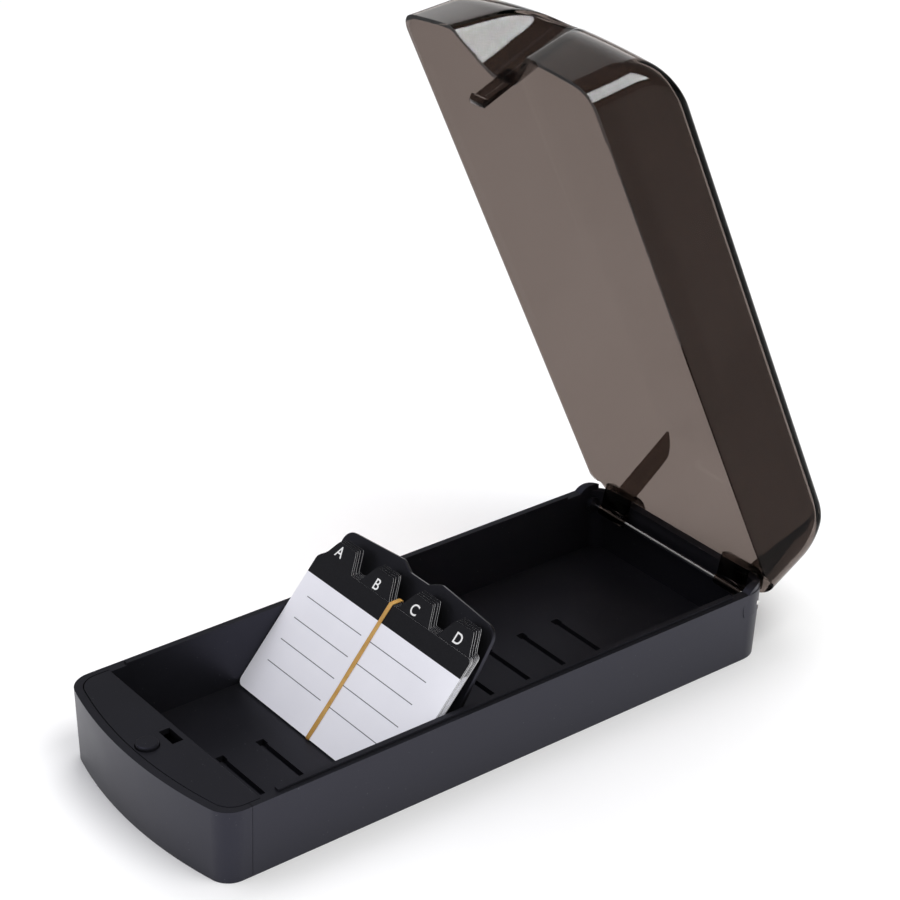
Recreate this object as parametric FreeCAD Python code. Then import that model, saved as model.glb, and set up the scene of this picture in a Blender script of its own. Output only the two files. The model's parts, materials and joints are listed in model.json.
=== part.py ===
"""Covered card tray: a bow-fronted tray with a hinged smoke lid, a push-button latch,
a follower plate and a banded set of index guides. Millimetres, +Z up, front towards -Y,
origin on the middle line of the tray's flat underside."""
import FreeCAD, Part
import os
from math import acos, asin, atan2, cos, degrees, hypot, radians, sin, sqrt, tan

V = FreeCAD.Vector
X_AXIS = V(1, 0, 0)
Y_AXIS = V(0, 1, 0)

# ---- tray ----
tray_length = 276.4
rear_reach = 139.0
tray_width = 112.0
tray_height = 32.0
side_draft = 1.7
front_draft = 0.4
front_bow_radius = 200.0
front_corner_radius = 10.5
rear_corner_radius = 13.0
side_wall = 4.3
rear_wall = 3.9
floor_thickness = 4.0
cavity_corner_radius = 6.0
lip_width = 2.3
lip_height = 1.1
lip_front_setback = 31.4
lip_rear_setback = 21.0

# ---- floor slots for the follower ----
slot_count = 10
slot_pitch = 18.7
slot_width = 2.4
slot_first_setback = 47.4
slot_left = -12.3
slot_length = 49.0
slot_head = 3.6
slot_depth = 2.8

# ---- front cover, deck and latch ----
seam_setback = 19.1
seam_gap = 0.15
bulkhead = 2.0
deck_setback = 24.1
deck_thickness = 2.5
deck_half_width = 53.4
deck_front_band = 3.4
deck_gap = 0.35
deck_corner_radius = 9.0
cover_wall = 5.8
cover_side_wall = 7.0
cover_floor = 3.0
pocket_corner_radius = 6.5
post_radius = 3.2
deck_screw_spread = 22.0
screw_radius = 1.3
screw_head_radius = 2.6
screw_head_height = 1.6
screw_length = 12.0
screw_clearance = 0.2
screw_sink = 0.3
recess_half_length = 1.6
recess_half_width = 0.3
recess_depth = 0.6
boss_half_width = 4.0
boss_length = 8.0
boss_height = 20.0
boss_gap = 0.1
cover_screw_height = 15.0
cover_screw_spread = 40.0
cover_screw_length = 9.0
button_radius = 4.5
button_setback = 9.1
button_proud = 1.5
button_travel = 1.4
button_clearance = 0.25
button_skirt = 1.6
button_edge_radius = 0.8
flange_half_width = 6.2
flange_gap = 0.1
flange_front_gap = 0.4
flange_rear_reach = 1.0
latch_plate = 2.3
latch_half_width = 6.5
latch_guide_gap = 0.25
rail_hook_gap = 0.6
rail_overhang = 2.4
rail_setback = 0.5
stop_setback = 3.0
tongue_half_width = 2.8
tongue_thickness = 2.2
tongue_rise = 0.4
tongue_drop = 0.5
tongue_web = 1.4
tongue_fit = 0.12
spring_radius = 1.8
spring_wire = 0.4
spring_turns = 8
spring_front_gap = 0.15
spring_cup_gap = 0.1
spring_cup_depth = 0.6
spring_coil_gap = 0.05
pad_rim = 0.6
pad_height = 1.2
catch_depth = 8.5
nib_height = 2.3
nib_reach = 1.3
nib_edge = 0.8
hook_half_width = 4.0
hook_thickness = 2.2
hook_root = 6.0
hook_gap = 0.3
hook_rear_offset = 0.2
hook_side_gap = 1.0
hook_front_gap = 0.6
hook_rear_gap = 0.3

# ---- hinge ----
hinge_setback = 7.0
hinge_height = 25.5
rod_radius = 1.0
rod_fit = 0.05
rod_end_cover = 1.6
ear_clearance = 0.65
ear_width = 4.6
ear_rear_gap = 0.3
ear_drop = 4.0
collar_radius = 3.4
collar_width = 2.4
barrel_radius = 2.5
barrel_gap = 0.5
lug_side_gap = 1.0
lug_inner = 29.7
lug_width = 15.1
lid_open_angle = 66.0
stop_gap_angle = 0.6
arm_thickness = 2.4
lid_swing_clearance = 0.4
lug_clearance = 0.1

# ---- lid ----
lid_wall = 2.0
lid_side_gap = 0.2
lid_seat_gap = 0.3
lid_roof_height = 72.2
lid_front_inset = 0.2
lid_bow_radius = 290.0
lid_corner_radius = 11.0
lid_front_lean = 17.0
lid_rear_lean = 2.0
lid_side_lean = 3.4
lid_front_round = 30.0
lid_rear_round = 18.0
lid_side_round = 4.5
lid_rings = 12
scoop_half_width = 23.0
scoop_floor_half_width = 6.0
scoop_depth = 18.6
scoop_overrun = 12.0
skirt_thickness = 1.2
skirt_end_gap = 1.0
skirt_height = 1.6
rib_inner = 37.0
rib_outer = 46.5
rib_tip = 45.0
rib_thickness = 2.0

# ---- follower plate ----
follower_lean = 57.9
follower_slot = 4
follower_width = 98.6
follower_offset = -2.1
follower_thickness = 2.0
follower_shoulder = 63.4
follower_peak = 66.2
follower_dip = 63.1
follower_corner_radius = 6.0
follower_dip_radius = 3.0
dip_outer = 12.5
dip_inner = 6.0
foot_thickness = 1.1
foot_depth = 1.5
foot_length = 40.0
follower_floor_gap = 0.1

# ---- index guides and rubber band ----
guide_count = 16
tab_positions = 4
guide_width = 101.6
guide_height = 62.2
guide_lean = 48.45
guide_sheet = 0.2
guide_pitch = 0.225
guide_offset = -0.5
tab_height = 8.8
tab_top_half_width = 5.6
tab_base_half_width = 11.2
guide_setback = 81.4
band_width = 2.7
band_thickness = 0.5
band_fit = 0.06
band_offset = -1.0
band_floor_gap = 0.1

# ---- how far a cutting shape runs past a face, and how far a joined shape bites in ----
over = 1.0
well_over = 20.0
bite = 0.5

# ---- places worked out from the sizes above ----
rear_y = rear_reach
front_y = rear_y - tray_length
half_width = tray_width / 2
inner_half_width = half_width - side_wall
cavity_front_y = front_y + deck_setback
cavity_rear_y = rear_y - rear_wall
seam_y = front_y + seam_setback
bulkhead_y = cavity_front_y - bulkhead
pocket_front_y = front_y + cover_wall
hinge_y = rear_y - hinge_setback
hinge_corner = hypot(hinge_setback, tray_height - hinge_height)
swing_radius = hinge_corner + lid_swing_clearance
ear_radius = swing_radius - ear_clearance
deck_bottom = tray_height - deck_thickness
button_y = front_y + button_setback
lid_seat = tray_height + lid_seat_gap
lid_front_y = front_y + lid_front_inset
scoop_y = lid_front_y + scoop_depth
hook_front_y = scoop_y + hook_rear_offset
catch_top = tray_height - catch_depth
catch_bottom = catch_top - latch_plate
nib_top = catch_bottom - hook_gap
nib_bottom = nib_top - nib_height
keeper_rear_y = hook_front_y - hook_gap
nib_front_y = hook_front_y - nib_reach
spring_y = pocket_front_y + spring_radius + spring_front_gap
flange_top = deck_bottom - flange_gap
cup_top = flange_top - button_skirt + spring_cup_depth
pad_top = cover_floor + pad_height
rod_half_length = half_width - rod_end_cover
guide_rise = guide_pitch / sin(radians(guide_lean))


def box(x0, x1, y0, y1, z0, z1):
    return Part.makeBox(x1 - x0, y1 - y0, z1 - z0, V(x0, y0, z0))


def cylinder_x(radius, x0, x1, y, z):
    return Part.makeCylinder(radius, x1 - x0, V(x0, y, z), X_AXIS)


def cylinder_z(radius, x, y, z0, z1):
    return Part.makeCylinder(radius, z1 - z0, V(x, y, z0))


def prism_x(points, x0, x1):
    """A solid with a straight-sided outline of (y, z) points, from x0 to x1."""
    corners = [V(x0, y, z) for y, z in points]
    face = Part.Face(Part.makePolygon(corners + corners[:1]))
    return face.extrude(V(x1 - x0, 0, 0))


def prism_z(points, z0, z1):
    """A solid with a straight-sided outline of (x, y) points, from z0 to z1."""
    corners = [V(x, y, z0) for x, y in points]
    face = Part.Face(Part.makePolygon(corners + corners[:1]))
    return face.extrude(V(0, 0, z1 - z0))


def join(shapes):
    result = shapes[0]
    for shape in shapes[1:]:
        result = result.fuse(shape)
    return result.removeSplitter()


def mirrored(x):
    return (-x, x)


def bow_outline(half, back_y, nose_y, bow_radius, front_round, back_round, z):
    """Plan outline: straight sides and back, a bowed front and four rounded corners."""
    centre_y = nose_y + bow_radius
    corner_x = half - front_round
    corner_y = centre_y - sqrt((bow_radius - front_round) ** 2 - corner_x ** 2)
    reach = bow_radius / (bow_radius - front_round)
    meet_x = corner_x * reach
    meet_y = centre_y + (corner_y - centre_y) * reach
    turn = atan2(meet_y - corner_y, meet_x - corner_x) / 2
    mid_x = corner_x + front_round * cos(turn)
    mid_y = corner_y + front_round * sin(turn)
    back_x = half - back_round
    arc_y = back_y - back_round
    back_mid = back_round * sin(radians(45))
    edges = [
        Part.makeLine(V(half, arc_y, z), V(half, corner_y, z)),
        Part.Arc(V(half, corner_y, z), V(mid_x, mid_y, z), V(meet_x, meet_y, z)).toShape(),
        Part.Arc(V(meet_x, meet_y, z), V(0, nose_y, z), V(-meet_x, meet_y, z)).toShape(),
        Part.Arc(V(-meet_x, meet_y, z), V(-mid_x, mid_y, z), V(-half, corner_y, z)).toShape(),
        Part.makeLine(V(-half, corner_y, z), V(-half, arc_y, z)),
        Part.Arc(V(-half, arc_y, z), V(-back_x - back_mid, arc_y + back_mid, z),
                 V(-back_x, back_y, z)).toShape(),
        Part.makeLine(V(-back_x, back_y, z), V(back_x, back_y, z)),
        Part.Arc(V(back_x, back_y, z), V(back_x + back_mid, arc_y + back_mid, z),
                 V(half, arc_y, z)).toShape(),
    ]
    return Part.Wire(edges)


def bow_prism(half, back_y, nose_y, bow_radius, front_round, back_round, z0, z1):
    wire = bow_outline(half, back_y, nose_y, bow_radius, front_round, back_round, z0)
    return Part.Face(wire).extrude(V(0, 0, z1 - z0))


def tray_outer():
    """The drafted outside of the tray and its front cover, as one block."""
    low = bow_outline(half_width - side_draft, rear_y - side_draft, front_y + front_draft,
                      front_bow_radius, front_corner_radius - side_draft,
                      rear_corner_radius - side_draft, 0)
    high = bow_outline(half_width, rear_y, front_y, front_bow_radius, front_corner_radius,
                       rear_corner_radius, tray_height)
    return Part.makeLoft([low, high], True, True)


def deck_outline_prism(gap, z0, z1):
    """The deck's plan shape: the front outline moved in by the rim band."""
    inset = deck_front_band + gap
    half = deck_half_width - gap
    shape = bow_prism(half, rear_y, front_y + inset, front_bow_radius - inset,
                      deck_corner_radius, rear_corner_radius, z0, z1)
    return shape.common(box(-half, half, front_y, cavity_front_y, z0, z1))


def latch_pocket():
    """The space under the deck that holds the button and the latch."""
    half = half_width - cover_side_wall
    shape = bow_prism(half, rear_y, pocket_front_y, front_bow_radius - cover_wall,
                      pocket_corner_radius, rear_corner_radius, cover_floor, deck_bottom)
    return shape.common(box(-half, half, front_y, bulkhead_y, cover_floor, deck_bottom))


def screw_places():
    """Two screws from underneath hold the deck down on the front cover."""
    return [(x, (pocket_front_y + bulkhead_y) / 2) for x in mirrored(deck_screw_spread)]


def screw_hole(x, y):
    shank = cylinder_z(screw_radius + screw_clearance, x, y, -over, cover_floor + over)
    head = cylinder_z(screw_head_radius + screw_clearance, x, y, -over, screw_head_height)
    return shank.fuse(head)


def slot_y(index):
    return front_y + slot_first_setback + slot_pitch * (index - 1)


def cavity_block():
    """The space inside the tray, behind the bulkhead."""
    block = bow_prism(inner_half_width, cavity_rear_y, front_y, front_bow_radius,
                      front_corner_radius, cavity_corner_radius, floor_thickness,
                      tray_height + well_over)
    return block.common(box(-half_width, half_width, cavity_front_y, rear_y,
                            0, tray_height + well_over))


def tray_shell():
    block = tray_outer()
    keep = box(-tray_width, tray_width, seam_y + seam_gap / 2, rear_y + over, -over,
               tray_height + over)
    shell = block.common(keep)
    ears = []
    limits = bow_prism(half_width - lid_side_gap, rear_y - ear_rear_gap, front_y,
                       front_bow_radius, front_corner_radius, rear_corner_radius,
                       hinge_height - ear_drop, tray_height + well_over)
    for side in mirrored(1):
        x0, x1 = sorted((side * (half_width - ear_width), side * half_width))
        ears.append(cylinder_x(ear_radius, x0, x1, hinge_y, hinge_height).common(limits))
        x0, x1 = sorted((side * inner_half_width, side * (inner_half_width + lip_width)))
        ears.append(box(x0, x1, front_y + lip_front_setback, rear_y - lip_rear_setback,
                        tray_height - bite, tray_height + lip_height))
    shell = join([shell] + ears)
    shell = shell.cut(cavity_block()).cut(latch_pocket()).cut(
        deck_outline_prism(0, deck_bottom, tray_height + over))
    for index in range(1, slot_count + 1):
        y = slot_y(index)
        slot = box(slot_left, slot_left + slot_length, y - slot_width / 2, y + slot_width / 2,
                   floor_thickness - slot_depth, floor_thickness + over)
        head = box(slot_left, slot_left + slot_head, y - slot_head / 2, y + slot_head / 2,
                   floor_thickness - slot_depth, floor_thickness + over)
        shell = shell.cut(slot.fuse(head))
    rod_hole = cylinder_x(rod_radius, -rod_half_length, rod_half_length, hinge_y,
                          hinge_height)
    shell = shell.cut(rod_hole)
    for side in mirrored(1):
        x0, x1 = sorted((side * (lug_inner - lug_side_gap),
                         side * (lug_inner + lug_width + lug_side_gap)))
        shell = shell.cut(cylinder_x(barrel_radius + barrel_gap, x0, x1, hinge_y,
                                     hinge_height))
    for x in mirrored(cover_screw_spread):
        hole = Part.makeCylinder(screw_radius + screw_clearance, bulkhead + 2 * over,
                                 V(x, bulkhead_y - over, cover_screw_height), Y_AXIS)
        shell = shell.cut(hole)
    return shell


def front_cover():
    keep = box(-tray_width, tray_width, front_y - over, seam_y - seam_gap / 2, -over,
               tray_height + over)
    cover = tray_outer().common(keep)
    cover = cover.cut(latch_pocket()).cut(deck_outline_prism(0, deck_bottom, tray_height + over))
    guide_z = catch_bottom - latch_guide_gap
    for side in mirrored(1):
        x0, x1 = sorted((side * (hook_half_width + rail_hook_gap),
                         side * (latch_half_width + rail_overhang)))
        rail = box(x0, x1, pocket_front_y - bite, seam_y - rail_setback, cover_floor, guide_z)
        cover = cover.fuse(rail)
    pad = cylinder_z(spring_radius + pad_rim, 0, spring_y, cover_floor - bite, pad_top)
    bosses = [box(x - boss_half_width, x + boss_half_width, bulkhead_y - boss_length,
                  bulkhead_y - boss_gap, cover_floor - bite, boss_height)
              for x in mirrored(cover_screw_spread)]
    bosses = [boss.cut(box(-tray_width, tray_width, seam_y - seam_gap, rear_y, 0,
                           floor_thickness + screw_clearance)) for boss in bosses]
    cover = join([cover, pad] + bosses)
    for x, y in screw_places():
        cover = cover.cut(screw_hole(x, y))
    for screw in cover_screw_shanks():
        cover = cover.cut(screw)
    return cover


def cover_screw_shanks():
    """Where the two level screws that join the tray to the front cover bite."""
    start = cavity_front_y - cover_screw_length
    return [Part.makeCylinder(screw_radius, cover_screw_length, V(x, start, cover_screw_height),
                              Y_AXIS) for x in mirrored(cover_screw_spread)]


def cross_recess():
    """Half sizes of the two slots that make a screw's cross recess."""
    return ((recess_half_length, recess_half_width), (recess_half_width, recess_half_length))


def cover_screws():
    screws = []
    for x, shank in zip(mirrored(cover_screw_spread), cover_screw_shanks()):
        z = cover_screw_height
        head = Part.makeCylinder(screw_head_radius, screw_head_height, V(x, cavity_front_y, z),
                                 Y_AXIS)
        screw = join([head, shank])
        for wide, high in cross_recess():
            face = cavity_front_y + screw_head_height
            screw = screw.cut(box(x - wide, x + wide, face - recess_depth, face + over,
                                  z - high, z + high))
        screws.append(screw)
    return Part.makeCompound(screws)


def latch_deck():
    deck = deck_outline_prism(deck_gap, deck_bottom, tray_height)
    posts = [cylinder_z(post_radius, x, y, cover_floor, deck_bottom + bite)
             for x, y in screw_places()]
    stops = []
    for side in mirrored(1):
        x0, x1 = sorted((side * (latch_half_width + latch_guide_gap),
                         side * (latch_half_width + rail_overhang)))
        stops.append(box(x0, x1, pocket_front_y + rail_setback, scoop_y - stop_setback,
                         catch_bottom, deck_bottom + bite))
    deck = join([deck] + posts + stops)
    deck = deck.cut(cylinder_z(button_radius + button_clearance, 0, button_y, 0,
                               tray_height + over))
    slot = box(-hook_half_width - hook_side_gap, hook_half_width + hook_side_gap,
               nib_front_y - hook_front_gap, bulkhead_y - hook_rear_gap, 0,
               tray_height + over)
    deck = deck.cut(slot)
    for x, y in screw_places():
        deck = deck.cut(cylinder_z(screw_radius, x, y, 0, screw_length + over))
    return deck


def tongue_profile(gap):
    """The 45-degree tongue that turns the button's travel into the latch's travel."""
    top = catch_top + button_travel + tongue_rise
    bottom = catch_bottom - tongue_drop
    run = top - bottom
    rear = keeper_rear_y - tongue_web - run
    front = rear - tongue_thickness
    return [(front - gap, top + gap), (rear + gap, top + gap),
            (rear + run + 3 * gap, bottom - gap), (front + run, bottom - gap)]


def release_button():
    cap_bottom = deck_bottom + button_travel + flange_gap
    cap = cylinder_z(button_radius, 0, button_y, cap_bottom, tray_height + button_proud)
    top_edges = [e for e in cap.Edges if e.BoundBox.ZMin > tray_height]
    cap = cap.makeFillet(button_edge_radius, top_edges)
    flange_front = pocket_front_y + flange_front_gap
    flange = box(-flange_half_width, flange_half_width, flange_front,
                 button_y + button_radius + flange_rear_reach, flange_top - button_skirt,
                 flange_top)
    neck_rear = button_y + sqrt(button_radius ** 2 - tongue_half_width ** 2)
    neck = box(-tongue_half_width, tongue_half_width, flange_front, neck_rear,
               flange_top - bite, cap_bottom + bite)
    points = tongue_profile(0)
    tongue = prism_x(points, -tongue_half_width, tongue_half_width)
    stem = box(-tongue_half_width, tongue_half_width, points[0][0], points[1][0], points[0][1],
               flange_top - bite)
    spring_cup = cylinder_z(spring_radius + spring_cup_gap, 0, spring_y, 0, cup_top)
    return join([cap, neck, flange, stem, tongue]).cut(spring_cup)


def latch_slide():
    """A flat catch with a slanted window that the button's tongue slides through."""
    window = tongue_profile(tongue_fit)
    plate = box(-latch_half_width, latch_half_width, window[0][0] + over, keeper_rear_y,
                catch_bottom, catch_top)
    half = tongue_half_width + tongue_fit
    return plate.cut(prism_x(window, -half, half))


def button_spring():
    """A coil spring from the pad on the front cover's floor to the cup in the button."""
    bottom = pad_top + spring_wire / 2
    height = cup_top - spring_wire / 2 - bottom
    radius = spring_radius - spring_wire / 2 - spring_coil_gap
    helix = Part.makeHelix(height / spring_turns, height, radius)
    profile = Part.Wire(Part.makeCircle(spring_wire / 2, V(radius, 0, 0), Y_AXIS))
    coil = Part.Wire(helix.Edges).makePipeShell([profile], True, True)
    coil.translate(V(0, spring_y, bottom))
    return coil


def deck_screws():
    screws = []
    for x, y in screw_places():
        head = cylinder_z(screw_head_radius, x, y, screw_sink, screw_head_height)
        screw = join([head, cylinder_z(screw_radius, x, y, screw_sink, screw_length)])
        for wide, deep in cross_recess():
            screw = screw.cut(box(x - wide, x + wide, y - deep, y + deep, 0,
                                  screw_sink + recess_depth))
        screws.append(screw)
    return Part.makeCompound(screws)


def hinge_rod():
    return cylinder_x(rod_radius, -rod_half_length, rod_half_length, hinge_y, hinge_height)


def hinge_collar(side):
    outer = side * inner_half_width
    x0, x1 = sorted((outer, outer - side * collar_width))
    collar = cylinder_x(collar_radius, x0, x1, hinge_y, hinge_height)
    collar = collar.common(cavity_block())
    return collar.cut(cylinder_x(rod_radius, x0 - over, x1 + over, hinge_y, hinge_height))


def wall_inset(height, lean, radius):
    """How far a lid wall has moved in at a height above the seat: a leaning flat, then an
    arc that meets the roof."""
    total = lid_roof_height - lid_seat
    tilt = radians(lean)
    centre = total - radius
    tangent = centre + radius * sin(tilt)
    if height <= tangent:
        return height * tan(tilt)
    run = tangent * tan(tilt) + radius * cos(tilt)
    return run - sqrt(max(radius ** 2 - (height - centre) ** 2, 0.0))


def lid_block(inset, low):
    """A solid of the lid's outside, or of its inside when inset is the wall thickness."""
    total = lid_roof_height - lid_seat
    squeeze = (total - inset) / total
    wires = []
    for ring in range(lid_rings + 1):
        height = total * sin(radians(90.0 * ring / lid_rings))
        half = half_width - lid_side_gap - wall_inset(height, lid_side_lean, lid_side_round)
        back = rear_y - lid_side_gap - wall_inset(height, lid_rear_lean, lid_rear_round)
        nose = lid_front_y + wall_inset(height, lid_front_lean, lid_front_round)
        z = lid_seat + height * squeeze if ring else low
        wires.append(bow_outline(half - inset, back - inset, nose + inset, lid_bow_radius,
                                 lid_corner_radius - inset, rear_corner_radius - inset, z))
    return Part.makeLoft(wires, True, True)


def scoop_prism(offset):
    """The finger scoop's plan shape: a flat floor and two sloping flanks."""
    slope = (scoop_half_width - scoop_floor_half_width) / scoop_depth
    floor_y = scoop_y + offset
    widen = offset * (sqrt(1 + slope ** 2) - slope)
    floor_half = scoop_floor_half_width + widen
    mouth_y = lid_front_y - scoop_overrun
    mouth_half = floor_half + slope * (floor_y - mouth_y)
    points = [(-floor_half, floor_y), (floor_half, floor_y), (mouth_half, mouth_y),
              (-mouth_half, mouth_y)]
    return prism_z(points, lid_seat - well_over, lid_roof_height + well_over)


def arm_angle():
    """Closed angle of the hinge arm, set so that it meets the tray's rear wall just past
    the lid's open angle."""
    corner_y = cavity_rear_y - hinge_y
    corner_z = tray_height - hinge_height
    corner = degrees(atan2(corner_z, corner_y))
    half_arm = degrees(asin(arm_thickness / 2 / hypot(corner_y, corner_z)))
    return corner + half_arm + lid_open_angle + stop_gap_angle


def hinge_lug(side):
    x0, x1 = sorted((side * lug_inner, side * (lug_inner + lug_width)))
    barrel = cylinder_x(barrel_radius, x0, x1, hinge_y, hinge_height)
    inner = swing_radius + lug_clearance
    outer = inner + arm_thickness
    angle = arm_angle()
    arm = box(x0, x1, 0, outer - bite, -arm_thickness / 2, arm_thickness / 2)
    arm.rotate(V(0, 0, 0), X_AXIS, angle)
    arm.translate(V(0, hinge_y, hinge_height))
    ring = cylinder_x(outer, x0, x1, hinge_y, hinge_height).cut(
        cylinder_x(inner, x0 - over, x1 + over, hinge_y, hinge_height))
    far = 3 * outer
    end = acos((hinge_setback - lid_side_gap - lid_wall / 2) / inner)
    start = radians(angle)
    middle = (start + end) / 2
    wedge = prism_x([(hinge_y, hinge_height)]
                    + [(hinge_y + far * cos(a), hinge_height + far * sin(a))
                       for a in (end, middle, start)], x0, x1)
    lug = join([barrel, arm, ring.common(wedge)])
    return lug.cut(cylinder_x(rod_radius + rod_fit, x0 - over, x1 + over, hinge_y,
                              hinge_height))


def lid_rabbet(side):
    """The step inside a side rim that takes the tray's lip and leaves a thin skirt."""
    outer = half_width - lid_side_gap - skirt_thickness
    x0, x1 = sorted((side * (inner_half_width - over), side * outer))
    return box(x0, x1, front_y + lip_front_setback - skirt_end_gap,
               rear_y - lip_rear_setback + skirt_end_gap, lid_seat - over,
               lid_seat + skirt_height)


def lid_rib(side):
    """A tapering rib from a hinge lug up to the roof, in the plane of the hinge."""
    foot_z = hinge_height + swing_radius + lug_clearance + arm_thickness / 2
    corners = [(rib_inner, foot_z), (rib_outer, foot_z), (rib_outer, lid_roof_height),
               (rib_tip, lid_roof_height)]
    points = [V(side * x, hinge_y - rib_thickness / 2, z) for x, z in corners]
    face = Part.Face(Part.makePolygon(points + points[:1]))
    return face.extrude(V(0, rib_thickness, 0)).common(lid_block(0, lid_seat))


def lid_shell():
    """Built closed over the tray, then swung open about the hinge."""
    shell = lid_block(0, lid_seat).cut(scoop_prism(0))
    hollow = lid_block(lid_wall, lid_seat - over).cut(scoop_prism(lid_wall))
    shell = shell.cut(hollow)
    shell = shell.cut(cylinder_x(swing_radius, -tray_width, tray_width, hinge_y, hinge_height))
    hook = box(-hook_half_width, hook_half_width, hook_front_y,
               hook_front_y + hook_thickness, nib_bottom, lid_seat + hook_root)
    nib = prism_x([(hook_front_y + bite, nib_bottom), (hook_front_y, nib_bottom),
                   (nib_front_y, nib_top - nib_edge), (nib_front_y, nib_top),
                   (hook_front_y + bite, nib_top)], -hook_half_width, hook_half_width)
    lugs = [hinge_lug(side) for side in mirrored(1)]
    ribs = [lid_rib(side) for side in mirrored(1)]
    lid = join([shell, hook, nib] + lugs + ribs)
    for side in mirrored(1):
        lid = lid.cut(lid_rabbet(side))
    lid.rotate(V(0, hinge_y, hinge_height), X_AXIS, -lid_open_angle)
    return lid


def leaned(shape, lean, y, z):
    """Stand a plate drawn flat (height along +Y, thickness along -Z) at its lean."""
    shape.rotate(V(0, 0, 0), X_AXIS, lean)
    shape.translate(V(0, y, z))
    return shape


def rounded_upright(plate, x, radius):
    """Round the corners in a flat plate's top half that stand at plus and minus x."""
    corners = [e for e in plate.Edges
               if e.BoundBox.ZLength > 0.5 * follower_thickness
               and abs(abs(e.CenterOfMass.x) - x) < 0.01
               and e.CenterOfMass.y > follower_shoulder / 2]
    return plate.makeFillet(radius, corners)


def follower_plate():
    """A leaning plate with a dipped top edge and a thin foot that stands in a slot."""
    half = follower_width / 2
    tilt = radians(follower_lean)
    start = (follower_thickness * cos(tilt) + follower_floor_gap) / sin(tilt)
    outline = [(-half, start), (half, start), (half, follower_shoulder)]
    outline += [(dip_outer, follower_peak), (dip_inner, follower_dip)]
    outline += [(-x, y) for x, y in reversed(outline[2:])]
    plate = prism_z(outline, -follower_thickness, 0)
    plate = rounded_upright(plate, half, follower_corner_radius)
    for x in (dip_outer, dip_inner):
        plate = rounded_upright(plate, x, follower_dip_radius)
    foot = box(-foot_length / 2, foot_length / 2, -foot_depth / sin(tilt),
               start + bite, -foot_thickness, 0)
    foot.translate(V(slot_left + slot_length / 2 - follower_offset, 0, 0))
    plate = join([plate, foot])
    plate.translate(V(follower_offset, 0, 0))
    reach = foot_depth / tan(tilt) - foot_thickness / sin(tilt)
    y = slot_y(follower_slot) + reach / 2
    return leaned(plate, follower_lean, y, floor_thickness)


def guide_base():
    """Front lower edge of the first guide, raised by the rubber band that runs under it."""
    return front_y + guide_setback, (floor_thickness + band_thickness + 2 * band_fit
                                     + band_floor_gap)


def index_guide(number):
    centre = guide_width * ((number % tab_positions + 0.5) / tab_positions - 0.5)
    half = guide_width / 2
    top = guide_height + tab_height
    outline = [(-half, 0), (half, 0), (half, guide_height)]
    right = min(centre + tab_base_half_width, half)
    left = max(centre - tab_base_half_width, -half)
    outline += [(right, guide_height), (centre + tab_top_half_width, top),
                (centre - tab_top_half_width, top), (left, guide_height)]
    outline += [(-half, guide_height)]
    unique = [p for i, p in enumerate(outline) if p != outline[i - 1]]
    sheet = prism_z(unique, -guide_sheet, 0)
    sheet.translate(V(guide_offset, 0, 0))
    y, z = guide_base()
    return leaned(sheet, guide_lean, y + guide_rise * number, z)


def rubber_band():
    """A flat band round the middle of the bundle, front, top, back and underneath."""
    lean = radians(guide_lean)
    y, z = guide_base()
    depth = guide_rise * (guide_count - 1)
    back_y = guide_sheet * sin(lean)
    back_z = -guide_sheet * cos(lean)
    top_y = guide_height * cos(lean)
    top_z = guide_height * sin(lean)
    corners = [(y, z), (y + top_y, z + top_z), (y + top_y + depth, z + top_z),
               (y + top_y + depth + back_y, z + top_z + back_z),
               (y + depth + back_y, z + back_z), (y + back_y, z + back_z)]
    points = [V(0, cy, cz) for cy, cz in corners]
    wire = Part.makePolygon(points + points[:1])
    inner = Part.Face(wire.makeOffset2D(band_fit))
    outer = Part.Face(wire.makeOffset2D(band_fit + band_thickness))
    band = outer.cut(inner).extrude(V(band_width, 0, 0))
    band.translate(V(band_offset - band_width / 2, 0, 0))
    return band


def save(name, shape):
    shape.exportStep("parts/" + name + ".step")
    solids = shape.Solids
    print(name, len(solids), "solids, volume", round(sum(s.Volume for s in solids)),
          "valid", shape.isValid())


def main():
    os.makedirs("parts", exist_ok=True)
    save("tray_shell", tray_shell())
    save("front_cover", front_cover())
    save("latch_deck", latch_deck())
    save("release_button", release_button())
    save("latch_slide", latch_slide())
    save("button_spring", button_spring())
    save("deck_screws", deck_screws())
    save("cover_screws", cover_screws())
    save("hinge_rod", hinge_rod())
    save("hinge_collar_left", hinge_collar(-1))
    save("hinge_collar_right", hinge_collar(1))
    save("lid_shell", lid_shell())
    save("follower_plate", follower_plate())
    for number in range(guide_count):
        save("index_guide_%02d" % (number + 1), index_guide(number))
    save("rubber_band", rubber_band())


main()
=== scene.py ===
"""Looks of the covered card tray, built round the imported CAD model. Metres, the CAD's frame."""
import bmesh
import bpy
import json
import random
from math import atan2, copysign, cos, pi, radians, sin, sqrt, tan
from mathutils import Matrix, Vector


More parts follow.
